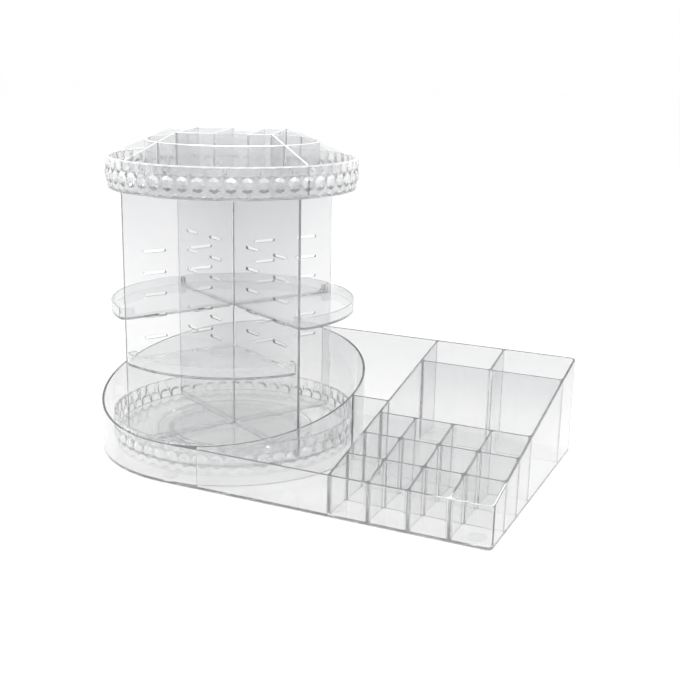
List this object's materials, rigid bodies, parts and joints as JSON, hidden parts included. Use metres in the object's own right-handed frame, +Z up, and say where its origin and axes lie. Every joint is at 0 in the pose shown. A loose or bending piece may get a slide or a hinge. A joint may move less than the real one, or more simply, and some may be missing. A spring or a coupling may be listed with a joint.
{
  "type": "rotating makeup organizer",
  "caption": "Clear makeup organizer: a turning tower of slotted cross panels, quarter shelves and crystal-cut trays in the round well of a sloped lipstick caddy.",
  "frame": {"origin": "centre of the footprint, on the surface that the pads stand on", "axes": "+Z up, +X along the front from the tower to the caddy, +Y from the low front to the high back"},
  "size_m": [0.4272, 0.252, 0.2996],
  "materials": {
    "clear_plastic": "clear, polished",
    "race_plastic": "clear, moulded",
    "ball_plastic": "clear, polished",
    "silicone": "translucent, matte"
  },
  "bodies": {
    "base": {"base_housing": "clear_plastic", "base_feet": "silicone", "bearing_lower_race": "race_plastic", "bearing_pin": "race_plastic", "bearing_retainer": "race_plastic"},
    "ball_cage": {"bearing_cage": "race_plastic", "bearing_balls": "ball_plastic"},
    "carousel": {"bearing_upper_race": "race_plastic", "lower_tray": "clear_plastic", "cross_panel_a": "clear_plastic", "cross_panel_b": "clear_plastic"},
    "right_shelf": {"shelf_right": "clear_plastic"},
    "back_shelf": {"shelf_back": "clear_plastic"},
    "left_shelf": {"shelf_left": "clear_plastic"},
    "front_shelf": {"shelf_front": "clear_plastic"},
    "upper_tray": {"top_tray": "clear_plastic", "top_ring": "clear_plastic", "top_dividers": "clear_plastic", "top_centre_box": "clear_plastic"}
  },
  "joints": [
    {"name": "carousel_spin", "type": "hinge", "parent": "base", "child": "carousel", "pos_m": [-0.08755, 0, 0], "axis": [0, 0, 1], "continuous": true},
    {"name": "cage_spin", "type": "hinge", "parent": "base", "child": "ball_cage", "pos_m": [-0.08755, 0, 0], "axis": [0, 0, 1], "continuous": true},
    {"name": "top_tray_lift", "type": "slide", "parent": "carousel", "child": "upper_tray", "axis": [0, 0, 1], "range_m": [0, 0.008]},
    {"name": "right_shelf_pull", "type": "slide", "parent": "carousel", "child": "right_shelf", "axis": [0.9622, 0.2723, 0], "range_m": [0, 0.006]},
    {"name": "back_shelf_pull", "type": "slide", "parent": "carousel", "child": "back_shelf", "axis": [-0.2723, 0.9622, 0], "range_m": [0, 0.006]},
    {"name": "left_shelf_pull", "type": "slide", "parent": "carousel", "child": "left_shelf", "axis": [-0.9622, -0.2723, 0], "range_m": [0, 0.006]},
    {"name": "front_shelf_pull", "type": "slide", "parent": "carousel", "child": "front_shelf", "axis": [0.2723, -0.9622, 0], "range_m": [0, 0.006]}
  ],
  "couplings": [
    {"joint": "cage_spin", "follows": "carousel_spin", "ratio": 0.5}
  ]
}
